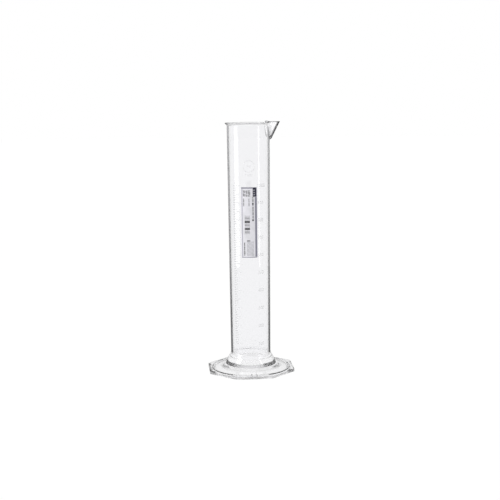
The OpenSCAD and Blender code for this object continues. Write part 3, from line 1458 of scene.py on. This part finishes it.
@dataclass
class Label:
    """Self-adhesive label on the front of the wall: a film with eased corners and its printed layer."""

    wall: Wall
    low: float = 202.4
    length: float = 120.6
    half_angle: float = 22.2
    film: float = 0.18
    off_wall: float = 0.02
    ink: float = 0.04
    corner: float = 0.5
    columns: int = 28
    rows: int = 100

    @property
    def half_width(self) -> float:
        """Half of the film's width round the wall."""
        return math.radians(self.half_angle) * self.wall.outer(self.low)

    def film_object(self, material: bpy.types.Material) -> bpy.types.Object:
        """Builds the film.

        Args:
            material: its finish.

        Returns:
            The film's object.
        """
        columns, rows = self.columns, self.rows
        up = np.linspace(0, self.length, rows + 1)
        points, faces = [], []
        for height in up:
            near_end = min(height, self.length - height)
            cut = self.corner - math.sqrt(max(0.0, self.corner**2 - max(0.0, self.corner - near_end) ** 2))
            half = self.half_width - cut
            across = np.linspace(-half, half, columns + 1)
            for out in (self.off_wall, self.off_wall + self.film):
                points.append(self.wall.place(across, np.full_like(across, self.low + height), out))
        points = np.vstack(points)
        wide = columns + 1
        for k in range(rows):
            for n in range(columns):
                for layer, flip in ((0, True), (1, False)):
                    a = (2 * k + layer) * wide + n
                    b = (2 * (k + 1) + layer) * wide + n
                    quad = (a, a + 1, b + 1, b)
                    faces.append(tuple(reversed(quad)) if flip else quad)
            for n, flip in ((0, True), (columns, False)):
                a, b = 2 * k * wide + n, (2 * k + 1) * wide + n
                c, d = 2 * (k + 1) * wide + n, (2 * (k + 1) + 1) * wide + n
                quad = (a, c, d, b)
                faces.append(quad if flip else tuple(reversed(quad)))
        for k, flip in ((0, False), (rows, True)):
            for n in range(columns):
                a, b = 2 * k * wide + n, (2 * k + 1) * wide + n
                quad = (a, a + 1, b + 1, b)
                faces.append(tuple(reversed(quad)) if flip else quad)
        film = add_object("label_film_vinyl", points, faces, [material])
        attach(film, "root")
        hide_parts("label_film")
        return film

    def print_object(self, inks: dict[InkColour, bpy.types.Material]) -> bpy.types.Object:
        """Builds the printed layer: borders, headings, bar strip and small print.

        Args:
            inks: the material of each ink.

        Returns:
            The printed layer's object.
        """
        layer = PrintedLayer(self)
        layer.borders()
        layer.headings()
        layer.bar_strip()
        layer.small_print()
        points, materials = np.vstack(layer.points), [inks[ink] for ink in InkColour]
        printed = add_object("label_print_inks", points, layer.faces, materials, layer.slots)
        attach(printed, "root")
        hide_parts("label_print")
        return printed


# ---- Studio ------------------------------------------------------------------------------------


@dataclass
class Studio:
    """White paper sweep, soft light all round, two strip lights and the camera.

    Lengths are in millimetres, the bearing is in degrees, and the camera's pitch and roll are in radians.
    """

    focal: float = 74.63
    distance: float = 1775.8
    eye_height: float = 483.1
    bearing: float = -94.7
    pitch: float = 0.1523
    roll: float = -0.0118
    side_shift: float = 0.70
    flag: float = 0.92
    ceiling: float = 0.72
    mirrored: float = 0.52
    lean: float = 0.34
    paper_radius: float = 9000.0
    paper_drop: float = 0.15
    lamp_height: float = 610.0
    lamp_length: float = 1200.0
    lamp_distance: float = 1000.0

    def floor(self) -> bpy.types.Object:
        """Builds the paper that the cylinder stands on.

        Returns:
            The paper's object.
        """
        around = 96
        angles = np.linspace(0, 2 * math.pi, around, endpoint=False)
        points = np.vstack([[0.0, 0.0, -self.paper_drop], ring(self.paper_radius, angles, -self.paper_drop)])
        faces = [(0, i + 1, (i + 1) % around + 1) for i in range(around)]
        paper = add_object("studio_floor", points, faces, [StudioFloor().build()])
        return paper

    def surroundings(self) -> None:
        """Lights the studio with four broad white windows, grey flags between them and a dimmer ceiling.

        What is seen directly or through the plastic stays white; the windows and flags show in reflections.
        """
        world = bpy.data.worlds.new("studio")
        bpy.context.scene.world = world
        world.use_nodes = True
        tree = world.node_tree
        tree.nodes.clear()
        place = add_node(tree, "ShaderNodeTexCoord")
        split = add_node(tree, "ShaderNodeSeparateXYZ", links={0: place.outputs["Generated"]})
        bearing = add_node(
            tree,
            "ShaderNodeMath",
            {"operation": "ARCTAN2"},
            {0: split.outputs["Y"], 1: split.outputs["X"]},
        )
        turned_on = add_node(
            tree,
            "ShaderNodeMath",
            {"operation": "SUBTRACT", 1: math.radians(self.bearing)},
            {0: bearing.outputs[0]},
        )
        rise = add_node(
            tree, "ShaderNodeMapRange", {"From Min": -1.0, "From Max": 1.0}, {"Value": split.outputs["Z"]}
        )
        windows = self.level_round(tree, turned_on.outputs[0])
        ceiling = add_node(tree, "ShaderNodeValToRGB", links={"Fac": rise.outputs[0]})
        self.fill_ramp(ceiling, [(0.0, 1.0), (0.62, 1.0), (0.78, 0.72), (1.0, self.ceiling)])
        path = add_node(tree, "ShaderNodeLightPath")
        dim = add_node(
            tree,
            "ShaderNodeMath",
            {"operation": "MULTIPLY_ADD", 1: self.mirrored - 1.0, 2: 1.0},
            {0: mirrored_share(tree, path)},
        )
        sway = add_node(tree, "ShaderNodeMath", {"operation": "SINE"}, {0: turned_on.outputs[0]})
        side = add_node(
            tree, "ShaderNodeMath", {"operation": "MULTIPLY_ADD", 1: -self.lean, 2: 1.0}, {0: sway.outputs[0]}
        )
        total = windows
        for factor in (ceiling.outputs["Color"], dim.outputs[0], side.outputs[0]):
            product = add_node(tree, "ShaderNodeMath", {"operation": "MULTIPLY"}, {0: total, 1: factor})
            total = product.outputs[0]
        seen = add_node(tree, "ShaderNodeBackground", {"Color": linear(WHITE), "Strength": 1.0})
        cast = add_node(tree, "ShaderNodeBackground", {"Color": linear(WHITE)}, {"Strength": total})
        through = add_node(
            tree,
            "ShaderNodeMath",
            {"operation": "MAXIMUM"},
            {0: path.outputs["Is Camera Ray"], 1: path.outputs["Is Transmission Ray"]},
        )
        mixed = add_node(
            tree, "ShaderNodeMixShader", links={0: through.outputs[0], 1: cast.outputs[0], 2: seen.outputs[0]}
        )
        add_node(tree, "ShaderNodeOutputWorld", links={"Surface": mixed.outputs[0]})

    def level_round(self, tree: bpy.types.NodeTree, bearing: bpy.types.NodeSocket) -> bpy.types.NodeSocket:
        """Sets the light's level round the horizon.

        Args:
            tree: the world's node tree.
            bearing: direction from the camera's, in radians.

        Returns:
            The level, full in each window and lower at the flags between them.
        """
        quarter = math.pi / 4
        away = add_node(tree, "ShaderNodeMath", {"operation": "PINGPONG", 1: quarter}, {0: bearing})
        share = add_node(
            tree, "ShaderNodeMapRange", {"From Min": 0.0, "From Max": quarter}, {"Value": away.outputs[0]}
        )
        windows = add_node(tree, "ShaderNodeValToRGB", links={"Fac": share.outputs[0]})
        self.fill_ramp(windows, [(0.0, 1.0), (0.46, 1.0), (0.62, self.flag), (0.86, self.flag), (1.0, 0.9)])
        return windows.outputs["Color"]

    @staticmethod
    def fill_ramp(ramp: bpy.types.Node, levels: Sequence[tuple[float, float]]) -> None:
        """Sets a ramp's grey levels.

        Args:
            ramp: the colour ramp node.
            levels: positions with the level at each.
        """
        stops = ramp.color_ramp.elements
        while len(stops) < len(levels):
            stops.new(0.5)
        for stop, (position, level) in zip(stops, levels):
            stop.position, stop.color = position, (level, level, level, 1.0)

    def strip(self, name: str, bearing: float, wide: float, power: float) -> None:
        """Adds a tall strip light.

        Args:
            name: the light's name.
            bearing: its direction from the cylinder, in degrees anticlockwise from the camera.
            wide: its width in metres.
            power: its power in watts.
        """
        lamp = bpy.data.lights.new(name, "AREA")
        lamp.shape, lamp.size, lamp.size_y, lamp.energy = "RECTANGLE", wide, self.lamp_length * MM, power
        holder = bpy.data.objects.new(name, lamp)
        a = math.radians(self.bearing + bearing)
        aim = Vector((0, 0, self.lamp_height * MM))
        holder.location = Vector((math.cos(a), math.sin(a), 0)) * self.lamp_distance * MM + aim
        holder.rotation_euler = (aim - holder.location).to_track_quat("-Z", "Y").to_euler()
        holder.visible_camera = False
        holder.visible_transmission = False
        bpy.context.scene.collection.objects.link(holder)

    def camera(self) -> bpy.types.Object:
        """Places the camera.

        Returns:
            The camera's object.
        """
        data = bpy.data.cameras.new("camera")
        data.lens, data.sensor_width = self.focal, 36.0
        data.clip_start, data.clip_end = 0.05, 60.0
        holder = bpy.data.objects.new("camera", data)
        a = math.radians(self.bearing)
        away = Vector((math.cos(a), math.sin(a), 0))
        level_right = Vector((-away.y, away.x, 0))
        forward = -away * math.cos(self.pitch) - Vector((0, 0, math.sin(self.pitch)))
        level_up = level_right.cross(forward)
        right = level_right * math.cos(self.roll) + level_up * math.sin(self.roll)
        up = level_up * math.cos(self.roll) - level_right * math.sin(self.roll)
        place = (away * self.distance + level_right * self.side_shift + Vector((0, 0, self.eye_height))) * MM
        turn = Matrix((right, up, -forward)).transposed()
        holder.matrix_world = Matrix.Translation(place) @ turn.to_4x4()
        bpy.context.scene.collection.objects.link(holder)
        bpy.context.scene.camera = holder
        return holder

    def build(self) -> None:
        """Builds the whole studio."""
        scene = bpy.context.scene
        scene.view_settings.view_transform = "Standard"
        scene.cycles.max_bounces = 40
        scene.cycles.transmission_bounces = 40
        scene.cycles.transparent_max_bounces = 32
        scene.cycles.glossy_bounces = 10
        self.floor()
        self.surroundings()
        self.strip("strip_left", -69.0, 0.48, 4.6)
        self.strip("strip_right", 55.7, 0.16, 1.6)
        self.camera()


def clear_finishes() -> dict[str, bpy.types.Material]:
    """Builds the finishes of clear plastic.

    Returns:
        Each material by the place it is used at.
    """
    # Painted shade kept to a narrow band at the silhouette.
    thin = {"edge_from": 0.84, "edge_to": 0.97}
    smooth = {"ripple_strength": 0.0, **thin}
    scuffed = {"roughness": 0.3, "clarity": 0.85}
    # Painted shade is heavier at thick places than on the thin wall: the lip's nose, the foot's bead and its
    # ridge.
    made = {
        "wall": ClearMoulding("clear_san_tube"),
        "plate": ClearMoulding.even("clear_san_foot", "#C6C6C7", **thin),
        "cement": ClearMoulding.even("solvent_cement", "#C6C6C7", roughness=0.05, **smooth),
        "bore": ClearMoulding("clear_san_bore", edge_high="#F4F4F4", edge_low="#ECECEC"),
        "nose": ClearMoulding.even("clear_san_nose_painted_shade", "#2A2A2B", tint="#6C6C6D"),
        "bead": ClearMoulding.even("clear_san_bead_painted_shade", "#5C5C5D", edge_from=0.0, edge_to=0.2),
        "ridge": ClearMoulding.even("clear_san_ridge_painted_shade", "#B4B4B5", tint="#F8F8F9"),
        "rubbed": ClearMoulding.even("clear_san_rubbed", "#D8D8D9", tint="#F4F4F5", **scuffed),
        # Painted shade: the rim's edge and the lip's flanks are darker face-on too.
        "rim": ClearMoulding("clear_san_rim_painted_shade", tint="#BABABB", edge_high="#6A6A6B"),
        "flank": ClearMoulding("clear_san_flank_painted_shade", tint="#DCDCDD"),
        "relief": ClearMoulding.even("clear_san_relief", "#C6C6C7", roughness=0.08, **smooth),
        "bonded": BondedFace("bonded_face"),
    }
    return {place: finish.build() for place, finish in made.items()}


def report(piece: bpy.types.Object) -> None:
    """Logs a finished piece with the size of its mesh."""
    LOG.info("%s: %d vertices, %d faces", piece.name, len(piece.data.vertices), len(piece.data.polygons))


def main() -> None:
    """Builds the cylinder piece by piece, then the studio."""
    logging.basicConfig(level=logging.INFO, format="%(name)s: %(message)s")
    clear = clear_finishes()
    film = VinylFilm("vinyl_film").build()
    inks = {ink: PrintingInk(f"ink_{ink.name.lower()}", *ink.value).build() for ink in InkColour}
    tube_finishes = {
        TubeFace.OUTSIDE: clear["wall"],
        TubeFace.BONDED: clear["bonded"],
        TubeFace.BORE: clear["bore"],
        TubeFace.NOSE: clear["nose"],
        TubeFace.RIM_EDGE: clear["rim"],
        TubeFace.FLANGE: clear["plate"],
        TubeFace.FLANK: clear["flank"],
    }
    foot_finishes = {
        FootFace.PLAIN: clear["plate"],
        FootFace.BONDED: clear["bonded"],
        FootFace.BEAD: clear["bead"],
        FootFace.RIDGE: clear["ridge"],
        # The ribs take the nose's painted shade.
        FootFace.RIB: clear["nose"],
        FootFace.SIDE: clear["rubbed"],
    }

    wall = Wall()
    foot = OctagonalFoot(wall)
    scale = VolumeScale(wall)
    label = Label(wall)
    report(MeasuringTube(wall, PouringLip(wall)).build(tube_finishes))
    report(foot.build(foot_finishes))
    report(WeldRing(wall, foot).build(clear["cement"], clear["bonded"]))
    report(scale.lines(clear["relief"]))
    report(scale.numbers(clear["relief"]))
    report(scale.unit_mark(clear["relief"]))
    report(label.film_object(film))
    report(label.print_object(inks))
    Studio().build()


if __name__ == "__main__":
    main()
